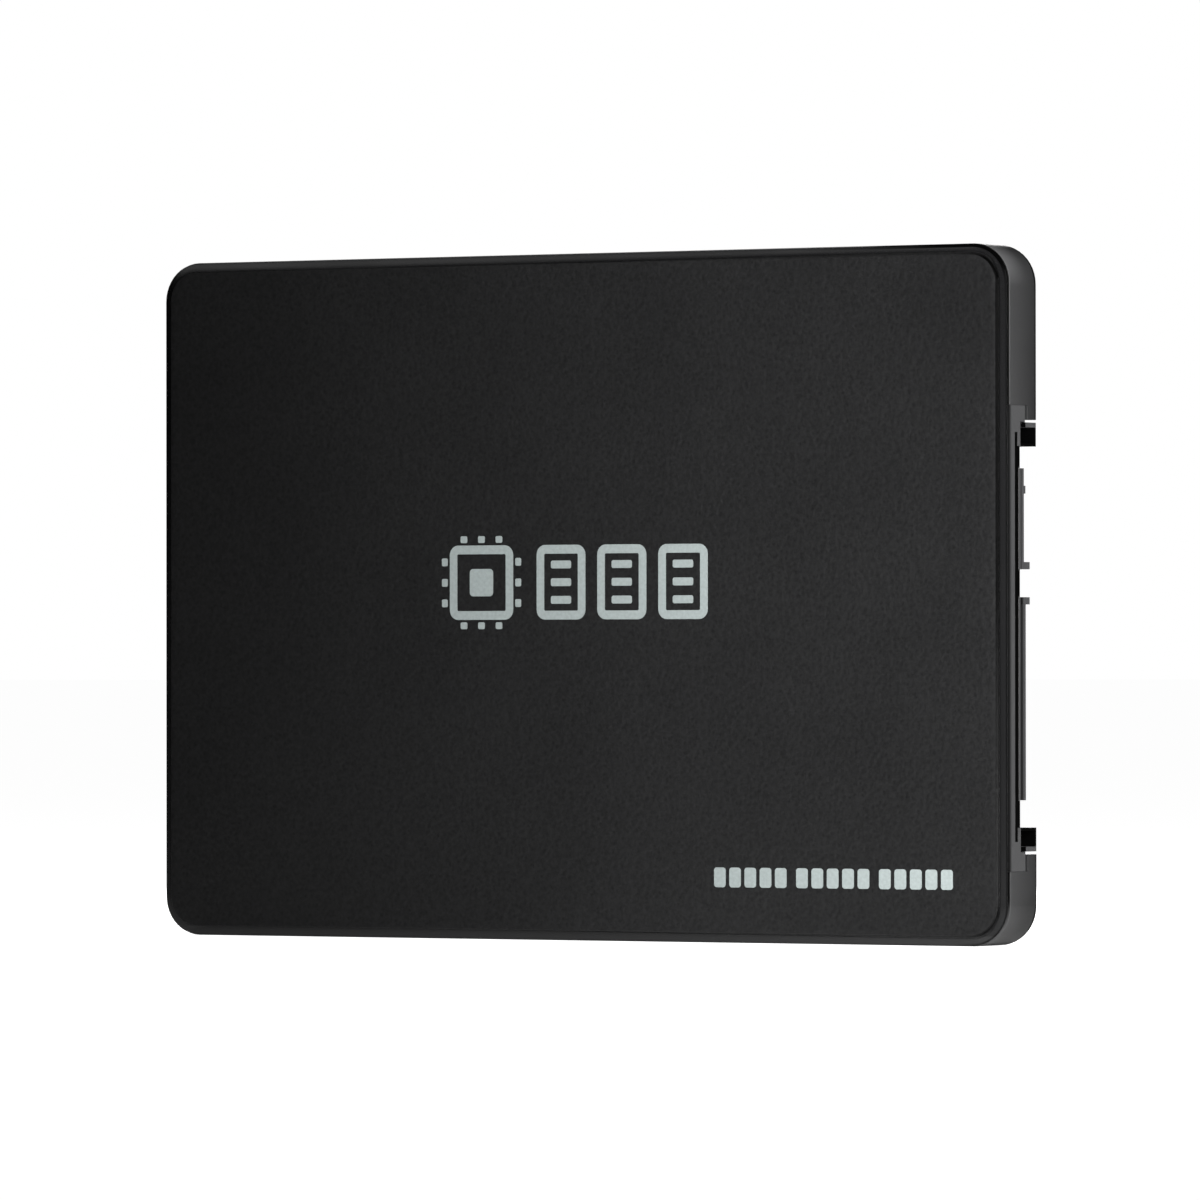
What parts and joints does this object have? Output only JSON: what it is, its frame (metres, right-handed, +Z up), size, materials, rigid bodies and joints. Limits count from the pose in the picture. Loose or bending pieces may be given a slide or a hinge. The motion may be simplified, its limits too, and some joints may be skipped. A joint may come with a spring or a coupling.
{
  "type": "solid state drive",
  "caption": "Slim 2.5 inch solid state drive in a two-part moulded case, with an edge data and power plug and threaded mounting holes in its base and long sides.",
  "frame": {"origin": "middle of the lower long edge, on the surface that the drive stands on", "axes": "+X along the length towards the connector end, -Y out of the cover's face, +Y out of the base, +Z up across the width"},
  "size_m": [0.1, 0.007, 0.0698],
  "materials": {
    "cover_plastic": "fine moulded grain on the raised field, satin rim",
    "base_plastic": "satin moulded",
    "thread_brass": "bright turned",
    "label_paper": "matt laminated",
    "board_laminate": "solder mask",
    "screw_steel": "zinc plated",
    "connector_plastic": "glass filled, matt",
    "contact_gold": "gold plated",
    "lock_metal": "tin plated",
    "chip_package": "matt moulded",
    "thermal_pad_silicone": "soft matt",
    "inductor_ferrite": "matt",
    "tantalum_body": "satin moulded",
    "ceramic_body": "matt",
    "crystal_can": "plain metal can",
    "fuse_ceramic": "matt"
  },
  "bodies": {
    "root": {"top_cover": "cover_plastic", "base_shell": "base_plastic", "threaded_mount_blocks": "thread_brass", "base_label": "label_paper", "circuit_board": "board_laminate", "board_screws": "screw_steel", "connector_housing": "connector_plastic", "signal_contacts": "contact_gold", "power_contacts": "contact_gold", "connector_board_locks": "lock_metal", "controller_chip": "chip_package", "controller_thermal_pad": "thermal_pad_silicone", "flash_package_1": "chip_package", "flash_package_2": "chip_package", "flash_package_3": "chip_package", "flash_package_4": "chip_package", "flash_package_5": "chip_package", "flash_package_6": "chip_package", "flash_package_7": "chip_package", "flash_package_8": "chip_package", "cache_memory_chip": "chip_package", "boot_memory_chip": "chip_package", "power_management_chip": "chip_package", "voltage_regulator": "chip_package", "power_inductors": "inductor_ferrite", "tantalum_capacitors": "tantalum_body", "ceramic_capacitors": "ceramic_body", "chip_resistors": "chip_package", "clock_crystal": "crystal_can", "input_fuse": "fuse_ceramic", "surge_diode": "chip_package"}
  },
  "joints": []
}
